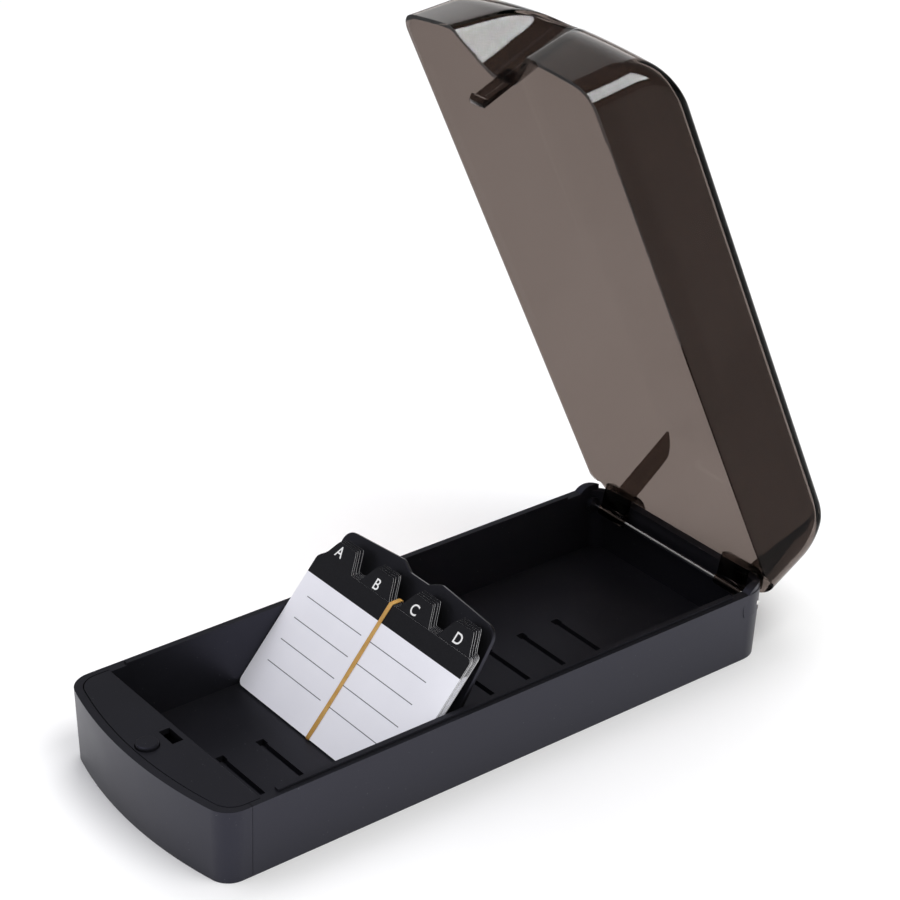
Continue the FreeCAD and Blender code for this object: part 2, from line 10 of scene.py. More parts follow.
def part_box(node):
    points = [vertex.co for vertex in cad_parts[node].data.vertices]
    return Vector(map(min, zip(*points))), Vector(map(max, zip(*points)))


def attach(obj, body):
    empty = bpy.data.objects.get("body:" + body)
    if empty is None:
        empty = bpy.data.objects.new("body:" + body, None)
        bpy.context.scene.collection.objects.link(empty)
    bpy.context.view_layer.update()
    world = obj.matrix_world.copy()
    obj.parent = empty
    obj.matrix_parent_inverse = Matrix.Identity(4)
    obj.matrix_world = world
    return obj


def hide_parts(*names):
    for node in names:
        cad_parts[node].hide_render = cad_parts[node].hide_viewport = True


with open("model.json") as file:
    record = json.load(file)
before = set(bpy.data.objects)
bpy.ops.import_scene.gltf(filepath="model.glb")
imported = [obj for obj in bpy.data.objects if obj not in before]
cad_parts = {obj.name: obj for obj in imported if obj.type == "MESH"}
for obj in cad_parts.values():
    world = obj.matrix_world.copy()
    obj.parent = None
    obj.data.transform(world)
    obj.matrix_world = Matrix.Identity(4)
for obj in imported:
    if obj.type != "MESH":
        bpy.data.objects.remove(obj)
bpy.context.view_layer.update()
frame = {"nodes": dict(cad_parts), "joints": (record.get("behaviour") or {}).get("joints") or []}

MM = 0.001
DM = 10  # decimetres in a metre, the unit of the cards' UV map
random.seed(7)

# ---- places read from the frame ----
joints = {joint["name"]: joint for joint in frame["joints"]}
hinge = Vector(joints["lid_hinge"]["pos_m"])
lid_open = radians(joints["lid_hinge"]["range_deg"][1])
cover_low, cover_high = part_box("front_cover")
tray_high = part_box("tray_shell")[1]
front_y = cover_low.y
rear_y = tray_high.y
half_width = tray_high.x
tray_height = cover_high.z


# ======================================================================================
# Materials
# ======================================================================================

def new_material(name):
    material = bpy.data.materials.new(name)
    material.use_nodes = True
    nodes = material.node_tree.nodes
    links = material.node_tree.links
    return material, nodes, links, nodes["Principled BSDF"]


def object_noise(nodes, links, scale, detail=4.0, roughness=0.6, stretch=(1, 1, 1)):
    """A noise texture laid out in object space, so that it stays with the piece."""
    place = nodes.new("ShaderNodeTexCoord")
    mapping = nodes.new("ShaderNodeMapping")
    mapping.inputs["Scale"].default_value = stretch
    noise = nodes.new("ShaderNodeTexNoise")
    noise.inputs["Scale"].default_value = scale
    noise.inputs["Detail"].default_value = detail
    noise.inputs["Roughness"].default_value = roughness
    links.new(place.outputs["Object"], mapping.inputs["Vector"])
    links.new(mapping.outputs["Vector"], noise.inputs["Vector"])
    return noise.outputs["Fac"]


def ranged(nodes, links, value, low, high, start=0.3, end=0.7):
    """Map a noise value from start..end to low..high."""
    node = nodes.new("ShaderNodeMapRange")
    node.inputs["From Min"].default_value = start
    node.inputs["From Max"].default_value = end
    node.inputs["To Min"].default_value = low
    node.inputs["To Max"].default_value = high
    links.new(value, node.inputs["Value"])
    return node.outputs["Result"]


def mixed_colour(nodes, links, factor, first, second):
    """Mix two colours, each given as three numbers or as another node's output."""
    node = nodes.new("ShaderNodeMix")
    node.data_type = "RGBA"
    for socket, colour in (("A", first), ("B", second)):
        if isinstance(colour, tuple):
            node.inputs[socket].default_value = (*colour, 1)
        else:
            links.new(colour, node.inputs[socket])
    links.new(factor, node.inputs["Factor"])
    return node.outputs["Result"]


def bumped(nodes, links, shader, height, distance, strength=1.0):
    bump = nodes.new("ShaderNodeBump")
    bump.inputs["Distance"].default_value = distance
    bump.inputs["Strength"].default_value = strength
    links.new(height, bump.inputs["Height"])
    links.new(bump.outputs["Normal"], shader.inputs["Normal"])
    return bump


def moulded_plastic(name, dark, light, rough_low, rough_high, grain=0.012 * MM):
    """Black moulded plastic: fine spark-eroded grain, faint flow marks and dust."""
    material, nodes, links, shader = new_material(name)
    broad = object_noise(nodes, links, 18.0, 3.0)
    fine = object_noise(nodes, links, 2600.0, 2.0)
    dust = object_noise(nodes, links, 900.0, 1.0)
    tone = ranged(nodes, links, broad, 0.0, 1.0)
    colour = mixed_colour(nodes, links, tone, dark, light)
    specks = ranged(nodes, links, dust, 0.0, 0.35, 0.76, 0.80)
    links.new(mixed_colour(nodes, links, specks, colour, (0.16, 0.16, 0.17)),
              shader.inputs["Base Color"])
    links.new(ranged(nodes, links, broad, rough_low, rough_high), shader.inputs["Roughness"])
    shader.inputs["Specular Tint"].default_value = (0.72, 0.72, 1.0, 1)
    bumped(nodes, links, shader, fine, grain, 0.6)
    return material


def smoke_plastic():
    """Clear smoke-tinted styrene, polished, with very slight moulding waves."""
    material, nodes, links, shader = new_material("smoke_plastic")
    shader.inputs["Transmission Weight"].default_value = 1.0
    shader.inputs["IOR"].default_value = 1.12
    tone = ranged(nodes, links, object_noise(nodes, links, 14.0, 2.0), 0.0, 1.0)
    colour = mixed_colour(nodes, links, tone, (0.160, 0.129, 0.115), (0.152, 0.122, 0.108))
    links.new(colour, shader.inputs["Base Color"])
    rough = ranged(nodes, links, object_noise(nodes, links, 60.0, 2.0), 0.0, 0.03)
    links.new(rough, shader.inputs["Roughness"])
    waves = object_noise(nodes, links, 22.0, 1.0)
    bumped(nodes, links, shader, waves, 0.05 * MM, 0.5)
    return material


def drawn_steel(name, tint, rough_low, rough_high):
    """Drawn wire: fine lines along its length and a little dulling."""
    material, nodes, links, shader = new_material(name)
    lines = object_noise(nodes, links, 900.0, 3.0, 0.6, (0.02, 1, 1))
    broad = object_noise(nodes, links, 90.0, 2.0)
    dull = tuple(c * 0.8 for c in tint)
    tone = ranged(nodes, links, broad, 0.0, 1.0)
    links.new(mixed_colour(nodes, links, tone, dull, tint), shader.inputs["Base Color"])
    shader.inputs["Metallic"].default_value = 1.0
    links.new(ranged(nodes, links, lines, rough_low, rough_high), shader.inputs["Roughness"])
    bumped(nodes, links, shader, lines, 0.02 * MM, 0.4)
    return material


def combined(nodes, links, operation, first, second):
    node = nodes.new("ShaderNodeMath")
    node.operation = operation
    links.new(first, node.inputs[0])
    links.new(second, node.inputs[1])
    return node.outputs["Value"]


def between(nodes, links, value, low, high, soft):
    """1 where value lies between low and high, with soft edges."""
    up = nodes.new("ShaderNodeMapRange")
    down = nodes.new("ShaderNodeMapRange")
    for node, edge, sign in ((up, low, 1), (down, high, -1)):
        node.inputs["From Min"].default_value = edge - soft * sign
        node.inputs["From Max"].default_value = edge + soft * sign
        links.new(value, node.inputs["Value"])
    return combined(nodes, links, "MULTIPLY", up.outputs["Result"], down.outputs["Result"])


def any_of(nodes, links, values):
    """The largest of several masks."""
    total = values[0]
    for value in values[1:]:
        total = combined(nodes, links, "MAXIMUM", total, value)
    return total


def printed_card():
    """White card stock with a black printed header and two columns of ruled lines.
    The UV map holds the place on the card, in decimetres from its bottom middle."""
    material, nodes, links, shader = new_material("printed_card")
    place = nodes.new("ShaderNodeUVMap")
    place.uv_map = "card_place"
    split = nodes.new("ShaderNodeSeparateXYZ")
    links.new(place.outputs["UV"], split.inputs["Vector"])
    across, up = split.outputs["X"], split.outputs["Y"]
    header = between(nodes, links, up, header_height * DM, past_card, header_blur)
    rules = any_of(nodes, links, [between(nodes, links, up, (h - rule_half) * DM,
                                          (h + rule_half) * DM, rule_blur)
                                  for h in rule_heights])
    columns = any_of(nodes, links, [between(nodes, links, across, a * DM, b * DM, column_blur)
                                    for a, b in rule_columns])
    ink = combined(nodes, links, "MULTIPLY", rules, columns)
    fibre = object_noise(nodes, links, 1500.0, 4.0)
    cloud = object_noise(nodes, links, 35.0, 2.0)
    paper = mixed_colour(nodes, links, ranged(nodes, links, cloud, 0.0, 1.0),
                         (0.85, 0.85, 0.915), (0.89, 0.89, 0.955))
    ruled = mixed_colour(nodes, links, ink, paper, (0.07, 0.07, 0.085))
    black = mixed_colour(nodes, links, ranged(nodes, links, fibre, 0.0, 1.0),
                         (0.010, 0.010, 0.012), (0.016, 0.016, 0.019))
    links.new(mixed_colour(nodes, links, header, ruled, black), shader.inputs["Base Color"])
    links.new(ranged(nodes, links, fibre, 0.50, 0.60), shader.inputs["Roughness"])
    shader.inputs["Specular IOR Level"].default_value = 0.12
    bumped(nodes, links, shader, fibre, 0.01 * MM, 0.5)
    return material


def card_edge():
    """The cut edge of the card, slightly fibrous, painted grey instead of the card's white as
    painted shade between the stacked cards.
    """
    material, nodes, links, shader = new_material("card_edge")
    fibre = object_noise(nodes, links, 2200.0, 3.0)
    tone = ranged(nodes, links, fibre, 0.0, 1.0)
    # painted shade: a mid grey, far darker than the white card face it belongs to
    links.new(mixed_colour(nodes, links, tone, (0.34, 0.34, 0.35), (0.60, 0.60, 0.61)),
              shader.inputs["Base Color"])
    shader.inputs["Roughness"].default_value = 0.6
    bumped(nodes, links, shader, fibre, 0.02 * MM, 0.6)
    return material


def letter_ink():
    material, nodes, links, shader = new_material("letter_ink")
    fibre = object_noise(nodes, links, 1800.0, 3.0)
    tone = ranged(nodes, links, fibre, 0.0, 1.0)
    links.new(mixed_colour(nodes, links, tone, (0.80, 0.80, 0.80), (0.92, 0.92, 0.92)),
              shader.inputs["Base Color"])
    shader.inputs["Roughness"].default_value = 0.5
    return material


def natural_rubber():
    """Ochre rubber band: translucent look, dusty, with faint lines along its length."""
    material, nodes, links, shader = new_material("natural_rubber")
    lines = object_noise(nodes, links, 700.0, 3.0, 0.6, (1, 0.15, 0.15))
    broad = object_noise(nodes, links, 160.0, 3.0)
    tone = ranged(nodes, links, broad, 0.0, 1.0)
    links.new(mixed_colour(nodes, links, tone, (0.50, 0.27, 0.06), (0.66, 0.40, 0.12)),
              shader.inputs["Base Color"])
    shader.inputs["Subsurface Weight"].default_value = 0.15
    shader.inputs["Subsurface Scale"].default_value = 0.5 * MM
    links.new(ranged(nodes, links, lines, 0.4, 0.6), shader.inputs["Roughness"])
    bumped(nodes, links, shader, lines, 0.03 * MM, 0.6)
    return material


# ======================================================================================
# Mesh helpers
# ======================================================================================

def mesh_object(name, vertices, faces, material):
    mesh = bpy.data.meshes.new(name)
    mesh.from_pydata([tuple(v) for v in vertices], [], faces)
    mesh.validate()
    mesh.materials.append(material)
    piece = bpy.data.objects.new(name, mesh)
    bpy.context.scene.collection.objects.link(piece)
    return piece


def recalculated(piece):
    work = bmesh.new()
    work.from_mesh(piece.data)
    bmesh.ops.recalc_face_normals(work, faces=work.faces)
    work.to_mesh(piece.data)
    work.free()


def apply_modifiers(piece):
    graph = bpy.context.evaluated_depsgraph_get()
    done = bpy.data.meshes.new_from_object(piece.evaluated_get(graph))
    old = piece.data
    piece.modifiers.clear()
    piece.data = done
    bpy.data.meshes.remove(old)


def shade(piece, angle=35.0):
    """Smooth shading with sharp edges kept where faces meet at more than the angle."""
    piece.data.polygons.foreach_set("use_smooth", [True] * len(piece.data.polygons))
    piece.data.set_sharp_from_angle(angle=radians(angle))


merge_distance = 0.004 * MM
flat_angle, bevel_angle, finish_angle = radians(1.0), radians(40), 50.0


def softened(node, body, material, width, segments=2):
    """A copy of a CAD node with its edges rounded as a mould leaves them."""
    source = frame["nodes"][node]
    piece = bpy.data.objects.new(node + "_finish", source.data.copy())
    bpy.context.scene.collection.objects.link(piece)
    work = bmesh.new()
    work.from_mesh(piece.data)
    bmesh.ops.remove_doubles(work, verts=work.verts, dist=merge_distance)
    bmesh.ops.dissolve_limit(work, angle_limit=flat_angle, verts=work.verts, edges=work.edges)
    work.to_mesh(piece.data)
    work.free()
    piece.data.materials.clear()
    piece.data.materials.append(material)
    bevel = piece.modifiers.new("edges", "BEVEL")
    bevel.width = width
    bevel.segments = segments
    bevel.limit_method = "ANGLE"
    bevel.angle_limit = bevel_angle
    bevel.use_clamp_overlap = True
    apply_modifiers(piece)
    shade(piece, finish_angle)
    flats = piece.modifiers.new("flats", "WEIGHTED_NORMAL")
    flats.mode = "FACE_AREA"
    flats.weight = 100
    flats.keep_sharp = True
    apply_modifiers(piece)
    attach(piece, body)
    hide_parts(node)
    return piece


# ======================================================================================
# Lid
# ======================================================================================

swing_radius = 9.941 * MM
lid_seat = tray_height + 0.3 * MM
lid_roof = 72.18 * MM
lid_wall = 2.0 * MM
lid_half = half_width - 0.2 * MM
lid_back = rear_y - 0.2 * MM
lid_nose = front_y + 0.2 * MM
lid_bow_radius = 290 * MM
lid_front_corner = 11 * MM
lid_rear_corner = 13 * MM
front_lean, rear_lean, side_lean = radians(17.0), radians(2.0), radians(3.4)
front_round, rear_round, side_round = 30 * MM, 18 * MM, 4.5 * MM
scoop_floor_y = lid_nose + 18.6 * MM
scoop_floor_half = 6.0 * MM
scoop_half = 23.0 * MM
scoop_slope = 18.6 * MM / (scoop_half - scoop_floor_half)
lid_rows = 44
side_steps, corner_steps, bow_steps, back_steps = 60, 14, 150, 30
scoop_ramp_blend, scoop_lift_blend = 3.0 * MM, 0.9 * MM
scoop_margin, scoop_fade = 4 * MM, 6 * MM
lip_inside = 50 * MM
lip_front, lip_back = front_y + 30.4 * MM, rear_y - 20 * MM
rim_thinning, thin_rows = 0.8 * MM, 2
hook_half_width, hook_round = 4 * MM, 0.35 * MM
hook_set_back, hook_root = 0.2 * MM, 6 * MM
hook_thickness, hook_top_thickness = 2.2 * MM, 1.8 * MM
hook_low, nib_top = 18.6 * MM, 20.9 * MM
nib_reach, nib_edge = 1.3 * MM, 0.8 * MM
lug_inner, lug_outer, lug_round = 29.7 * MM, 44.8 * MM, 0.3 * MM
barrel_radius = 2.5 * MM
arm_thickness = 2.4 * MM
arm_angle, arm_end = radians(141.2), radians(54.7)
rib_outer, rib_tip, rib_spread = 46.5, 45.0, 8.0
rib_half_thickness = 1 * MM


def wall_inset(height, lean, radius):
    """How far a lid wall has moved in at a height above the seat: a leaning flat, then an
    arc that meets the roof."""
    total = lid_roof - lid_seat
    centre = total - radius
    tangent = centre + radius * sin(lean)
    if height <= tangent:
        return height * tan(lean)
    run = tangent * tan(lean) + radius * cos(lean)
    return run - sqrt(max(radius ** 2 - (height - centre) ** 2, 0.0))


def soft_ramp(value, width):
    """max(value, 0) with its corner rounded over a width."""
    return 0.5 * (value + sqrt(value * value + width * width))


def lid_outline(inset, z):
    """Points round the lid at a height: sides, back and corners, and the bowed front with
    the finger scoop pushed in."""
    height = max(z - lid_seat, 0.0)
    total = lid_roof - lid_seat
    height = min(height * total / (total - inset), total)
    half = lid_half - wall_inset(height, side_lean, side_round) - inset
    back = lid_back - wall_inset(height, rear_lean, rear_round) - inset
    nose = lid_nose + wall_inset(height, front_lean, front_round) + inset
    front_corner = lid_front_corner - inset
    rear_corner = lid_rear_corner - inset
    bow_y = nose + lid_bow_radius
    corner_x = half - front_corner
    corner_y = bow_y - sqrt((lid_bow_radius - front_corner) ** 2 - corner_x ** 2)
    reach = lid_bow_radius / (lid_bow_radius - front_corner)
    meet_x = corner_x * reach
    turn = atan2(-corner_x, bow_y - corner_y)
    points = []
    back_arc_y = back - rear_corner
    for i in range(side_steps):
        points.append((half, back_arc_y + (corner_y - back_arc_y) * i / side_steps))
    sweep = pi / 2 + turn
    for i in range(corner_steps):
        a = -sweep * i / corner_steps
        points.append((corner_x + front_corner * cos(a), corner_y + front_corner * sin(a)))
    for i in range(bow_steps + 1):
        x = meet_x * (1 - 2 * i / bow_steps)
        points.append((x, bow_y - sqrt(lid_bow_radius ** 2 - x * x)))
    for i in range(corner_steps - 1, -1, -1):
        a = -sweep * i / corner_steps
        points.append((-corner_x - front_corner * cos(a), corner_y + front_corner * sin(a)))
    for i in range(side_steps - 1, -1, -1):
        points.append((-half, back_arc_y + (corner_y - back_arc_y) * i / side_steps))
    for i in range(1, corner_steps):
        a = pi / 2 * i / corner_steps
        points.append((-half + rear_corner * (1 - cos(a)), back_arc_y + rear_corner * sin(a)))
    back_x = half - rear_corner
    for i in range(back_steps + 1):
        points.append((-back_x + 2 * back_x * i / back_steps, back))
    for i in range(corner_steps - 1, 0, -1):
        a = pi / 2 * i / corner_steps
        points.append((half - rear_corner * (1 - cos(a)), back_arc_y + rear_corner * sin(a)))
    scooped = []
    floor_y = scoop_floor_y + inset * 1.05
    for x, y in points:
        ramp = soft_ramp(abs(x) - scoop_floor_half - inset * 0.45, scoop_ramp_blend)
        scoop_line = floor_y - scoop_slope * ramp
        near = y < floor_y + scoop_margin
        lift = soft_ramp(scoop_line - y, scoop_lift_blend) if near else 0.0
        fade = min(max((scoop_half + scoop_fade - abs(x)) / scoop_fade, 0.0), 1.0)
        scooped.append((x, y + lift * fade))
    return scooped


def rim_height(y):
    """The lid's rim follows its seat, and clears the tray's rear corner near the hinge."""
    reach = abs(y - hinge.y)
    if reach >= swing_radius:
        return lid_seat
    return max(lid_seat, hinge.z + sqrt(swing_radius ** 2 - reach ** 2))


def beside_lip(x, y):
    """Whether a place on the rim lies beside one of the lips that locate the lid."""
    return abs(x) > lip_inside and lip_front < y < lip_back


def lid_rings(inset):
    top = lid_roof - inset
    base = [rim_height(place[1]) for place in lid_outline(inset, lid_seat)]
    rings = []
    for row in range(lid_rows + 1):
        share = sin(pi / 2 * row / lid_rows)
        outlines = {}
        ring = []
        for index, low in enumerate(base):
            z = low + (top - low) * share
            key = round(z * 1e7)
            if key not in outlines:
                outlines[key] = lid_outline(inset, z)
            x, y = outlines[key][index]
            if inset and row < thin_rows and beside_lip(x, y):
                x += copysign(rim_thinning, x)
            ring.append(Vector((x, y, z)))
        rings.append(ring)
    return rings


def lid_body(material):
    outer = lid_rings(0.0)
    inner = lid_rings(lid_wall)
    count = len(outer[0])
    vertices = [p for ring in outer for p in ring] + [p for ring in inner for p in ring]
    offset = count * (lid_rows + 1)
    faces = []
    for start in (0, offset):
        for row in range(lid_rows):
            for i in range(count):
                j = (i + 1) % count
                a, b = start + row * count, start + (row + 1) * count
                faces.append((a + i, a + j, b + j, b + i))
        cap = start + lid_rows * count
        faces.append(tuple(cap + i for i in range(count)))
    for i in range(count):
        j = (i + 1) % count
        faces.append((i, j, offset + j, offset + i))
    piece = mesh_object("smoke_lid", vertices, faces, material)
    recalculated(piece)
    return piece


def prism_faces(count):
    """Two ends and the sides between them, for two rings of points one after the other."""
    faces = [tuple(range(count)), tuple(range(2 * count - 1, count - 1, -1))]
    return faces + [(i, i + count, (i + 1) % count + count, (i + 1) % count)
                    for i in range(count)]


def prism_piece(name, profile, x0, x1, material, bevel):
    """A closed (y, z) profile drawn out from x0 to x1, its edges rounded."""
    vertices = [Vector((x, y, z)) for x in (x0, x1) for y, z in profile]
    piece = mesh_object(name, vertices, prism_faces(len(profile)), material)
    recalculated(piece)
    rounding = piece.modifiers.new("edges", "BEVEL")
    rounding.width = bevel
    rounding.segments = 2
    rounding.limit_method = "ANGLE"
    rounding.angle_limit = bevel_angle
    apply_modifiers(piece)
    shade(piece, 35)
    return piece


def polar(radius, angle):
    return hinge.y + radius * cos(angle), hinge.z + radius * sin(angle)


def lug_profile():
    """Barrel round the rod, an arm, and the arc that carries it under the lid's back."""
    inner = swing_radius + 0.1 * MM
    outer = inner + arm_thickness
    half = arm_thickness / 2
    spread = [sqrt(r * r - half * half) for r in (barrel_radius, inner, outer)]
    lean = [atan2(half, r) for r in spread]
    points = []
    for radius, start, end, steps in (
            (barrel_radius, arm_angle + lean[0], arm_angle - lean[0] + 2 * pi, 24),
            (inner, arm_angle - lean[1], arm_end, 16), (outer, arm_end, arm_angle + lean[2], 18)):
        points += [polar(radius, start + (end - start) * i / steps) for i in range(steps + 1)]
    return points


def lid_rib(side, name, material):
    """A tapering rib from a hinge lug up to the roof, its inner edge slightly curved."""
    foot = hinge.z + swing_radius + 1.3 * MM
    top = lid_roof - 0.6 * MM
    edge = [(rib_outer * MM, foot), (rib_outer * MM, top), (rib_tip * MM, top)]
    steps = 12
    for i in range(1, steps + 1):
        t = i / steps
        edge.append(((rib_tip - rib_spread * t ** 0.8) * MM, top + (foot - top) * t))
    vertices = []
    for y in (hinge.y - rib_half_thickness, hinge.y + rib_half_thickness):
        vertices += [Vector((side * x, min(y, back_inside(z)), z)) for x, z in edge]
    piece = mesh_object(name, vertices, prism_faces(len(edge)), material)
    recalculated(piece)
    shade(piece, 35)
    return piece


def back_inside(z):
    """Where the inside of the lid's back wall lies at a height."""
    return lid_back - wall_inset(z - lid_seat, rear_lean, rear_round) - 1.0 * MM


def lid_fittings(material):
    """Latch hook under the scoop, and the two hinge lugs with their ribs."""
    hook_y = scoop_floor_y + hook_set_back
    hook_top = lid_seat + hook_root
    hook = [(hook_y, hook_low), (hook_y - nib_reach, nib_top - nib_edge),
            (hook_y - nib_reach, nib_top), (hook_y, nib_top), (hook_y, hook_top),
            (hook_y + hook_top_thickness, hook_top), (hook_y + hook_thickness, lid_seat),
            (hook_y + hook_thickness, hook_low)]
    pieces = [prism_piece("lid_hook", hook, -hook_half_width, hook_half_width, material,
                          hook_round)]
    for side, name in ((-1, "left"), (1, "right")):
        x0, x1 = sorted((side * lug_inner, side * lug_outer))
        pieces.append(prism_piece("lid_lug_" + name, lug_profile(), x0, x1, material,
                                  lug_round))
        pieces.append(lid_rib(side, "lid_rib_" + name, material))
    return pieces


def swung_open(piece):
    turn = (Matrix.Translation(hinge) @ Matrix.Rotation(-lid_open, 4, "X")
            @ Matrix.Translation(-hinge))
    piece.data.transform(turn)


# ======================================================================================
# Index guides
# ======================================================================================

guide_count = len([n for n in frame["nodes"] if n.startswith("index_guide_")])
guide_lean = radians(48.45)
guide_width = 101.6 * MM
guide_height = 62.2 * MM
tab_rise = 8.8 * MM
tab_top_half = 5.2 * MM
tab_base_half = 10.4 * MM
card_corner = 3.0 * MM
sheet = 0.2 * MM
header_height = 53.8 * MM
rule_heights = [15.0 * MM, 25.1 * MM, 35.2 * MM, 45.2 * MM]
rule_half = 0.17 * MM
rule_columns = [(-43.1 * MM, -5.6 * MM), (0.2 * MM, 37.0 * MM)]
past_card = 2.0
header_blur, rule_blur, column_blur = 0.0006, 0.0008, 0.001
tab_positions = 4
card_shoulder = 2.0 * MM
card_pitch = 0.21 * MM
sideways_slack, height_slack = (-0.25, 0.3), (-0.25, 0.05)
letter_height = 66.0 * MM
letter_size = 6.6 * MM
letter_lift = 0.012 * MM
letter_places = [("A", -2.4, 1.2), ("B", -0.75, -1.2), ("C", -1.6, -1.1), ("D", 0.3, -0.9)]


def arc_points(cx, cy, radius, start, end, steps):
    return [(cx + radius * cos(radians(start + (end - start) * i / steps)),
             cy + radius * sin(radians(start + (end - start) * i / steps)))
            for i in range(steps + 1)]


def tab_flank(side, centre):
    """An S-curve from the card's top edge up to the tab's rounded shoulder."""
    points = []
    steps = 14
    low_x, high_x = centre + side * tab_base_half, centre + side * tab_top_half
    for i in range(steps + 1):
        t = i / steps
        ease = t * t * (3 - 2 * t)
        x = low_x + (high_x - low_x) * (0.5 * ease + 0.5 * t)
        points.append((x, guide_height + tab_rise * ease))
    return points


def card_outline(position):
    half = guide_width / 2
    centre = guide_width * ((position + 0.5) / tab_positions - 0.5)
    points = arc_points(-half + card_corner, card_corner, card_corner, 180, 270, 6)
    points += arc_points(half - card_corner, card_corner, card_corner, 270, 360, 6)
    round_x, round_y = half - card_shoulder, guide_height - card_shoulder
    points += arc_points(round_x, round_y, card_shoulder, 0, 90, 5)
    points += [p for p in tab_flank(1, centre) if p[0] < round_x]
    points += [p for p in reversed(tab_flank(-1, centre)) if p[0] > -round_x]
    points += arc_points(-round_x, round_y, card_shoulder, 90, 180, 5)
    return points


def card_place(low, x, up, back):
    """From card coordinates to the frame: x across, up the leaning card, back through it."""
    return Vector((low.x + x, low.y + up * cos(guide_lean) + back * sin(guide_lean),
                   low.z + up * sin(guide_lean) - back * cos(guide_lean)))


def index_guide(number, face_material, edge_shade_material):
    node = "index_guide_%02d" % (number + 1)
    low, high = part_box(node)
    origin = Vector(((low.x + high.x) / 2, low.y, low.z + card_pitch * cos(guide_lean)))
    shift = random.uniform(*sideways_slack) * MM if number else 0.0
    rise = random.uniform(*height_slack) * MM if number else 0.0
    outline = card_outline(number % tab_positions)
    count = len(outline)
    vertices = [card_place(origin, x + shift, max(y + rise, 0.0), 0.0) for x, y in outline]
    vertices += [card_place(origin, x + shift, max(y + rise, 0.0), sheet) for x, y in outline]
    piece = mesh_object("card_%02d" % (number + 1), vertices, prism_faces(count),
                        face_material)
    piece.data.materials.append(edge_shade_material)
    places = piece.data.uv_layers.new(name="card_place")
    for polygon in piece.data.polygons:
        # the card's cut sides take the edge material, painted grey as painted shade between the
        # cards
        if polygon.index > 1:
            polygon.material_index = 1
        for loop in polygon.loop_indices:
            x, y = outline[piece.data.loops[loop].vertex_index % count]
            places.data[loop].uv = (x * DM, y * DM)
    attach(piece, "guides")
    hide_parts(node)
    return origin


def index_letter(text, number, across, up, origin, material):
    """A plain index letter on the tab, as a very thin raised print."""
    curve = bpy.data.curves.new("letter_" + text, "FONT")
    curve.body = text
    curve.size = letter_size
    curve.align_x = "CENTER"
    curve.align_y = "CENTER"
    curve.extrude = 0.01 * MM
    curve.offset = 0.05 * MM
    curve.resolution_u = 6
    letter = bpy.data.objects.new("letter_" + text, curve)
    bpy.context.scene.collection.objects.link(letter)
    bpy.context.view_layer.update()
    graph = bpy.context.evaluated_depsgraph_get()
    mesh = bpy.data.meshes.new_from_object(letter.evaluated_get(graph))
    bpy.data.objects.remove(letter)
    piece = bpy.data.objects.new("tab_letter_" + text, mesh)
    bpy.context.scene.collection.objects.link(piece)
    mesh.materials.clear()
    mesh.materials.append(material)
    centre = guide_width * ((number + 0.5) / tab_positions - 0.5)
    middle = card_place(origin, centre + across * MM, letter_height + up * MM, -letter_lift)
    mesh.transform(Matrix.Translation(middle) @ Matrix.Rotation(guide_lean, 4, "X"))
    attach(piece, "guides")


band_half_width, band_width_change, band_sway = 1.0, 0.07, 0.18
band_thickness, band_gap, band_step = 0.45 * MM, 0.07 * MM, 2.5 * MM


def rubber_band(material):
    """A flat band that hugs the bundle, its width and line wavering a little along its length."""
    low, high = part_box("rubber_band")
    centre_x = (low.x + high.x) / 2
    first_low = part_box("index_guide_01")[0]
    last_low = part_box("index_guide_%02d" % guide_count)[0]
    drop = card_pitch * cos(guide_lean)
    push = card_pitch * sin(guide_lean)
    top_y, top_z = guide_height * cos(guide_lean), guide_height * sin(guide_lean)
    y0, z0 = first_low.y, first_low.z + drop
    y1 = last_low.y
    corners = [(y0, z0), (y0 + top_y, z0 + top_z), (y1 + top_y, z0 + top_z),
               (y1 + top_y + push, z0 + top_z - drop), (y1 + push, z0 - drop),
               (y0 + push, z0 - drop)]
    path = []
    for i, (y, z) in enumerate(corners):
        ny, nz = corners[(i + 1) % len(corners)]
        run = sqrt((ny - y) ** 2 + (nz - z) ** 2)
        pieces = max(2, int(run / band_step))
        path += [(y + (ny - y) * k / pieces, z + (nz - z) * k / pieces) for k in range(pieces)]
    middle_y = sum(p[0] for p in path) / len(path)
    middle_z = sum(p[1] for p in path) / len(path)
    count = len(path)
    section = [(-1, 0.15), (-0.8, 0.0), (0.8, 0.0), (1, 0.15), (1, 0.85), (0.8, 1.0),
               (-0.8, 1.0), (-1, 0.85)]
    vertices = []
    for i, (y, z) in enumerate(path):
        py, pz = path[i - 1]
        ny, nz = path[(i + 1) % count]
        along = Vector((0, ny - py, nz - pz)).normalized()
        out = Vector((0, -along.z, along.y))
        if out.y * (y - middle_y) + out.z * (z - middle_z) < 0:
            out = -out
        half = (band_half_width + band_width_change * sin(i * 0.55)) * MM
        sway = band_sway * sin(i * 0.21) * MM
        for sx, depth in section:
            vertices.append(Vector((centre_x + sway + sx * half, y, z))
                            + out * (band_gap + depth * band_thickness))
    ring = len(section)
    faces = []
    for i in range(count):
        j = (i + 1) % count
        for k in range(ring):
            m = (k + 1) % ring
            faces.append((i * ring + k, i * ring + m, j * ring + m, j * ring + k))
    piece = mesh_object("band", vertices, faces, material)
    recalculated(piece)
    shade(piece, 60)
    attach(piece, "guides")
    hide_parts("rubber_band")


# ======================================================================================
# Build the pieces
# ======================================================================================

tray_plastic = moulded_plastic("tray_plastic", (0.0072, 0.0072, 0.0084), (0.0100, 0.0100, 0.0115),
                               0.34, 0.43)
follower_plastic = moulded_plastic("follower_plastic", (0.0055, 0.0055, 0.0060),
                                   (0.0080, 0.0080, 0.0085), 0.30, 0.40)
smoke = smoke_plastic()
rod_steel = drawn_steel("rod_steel", (0.78, 0.77, 0.75), 0.12, 0.26)
plain_steel = drawn_steel("plain_steel", (0.55, 0.55, 0.56), 0.25, 0.4)
card_face = printed_card()
shaded_card_cut = card_edge()
white_ink = letter_ink()
rubber = natural_rubber()

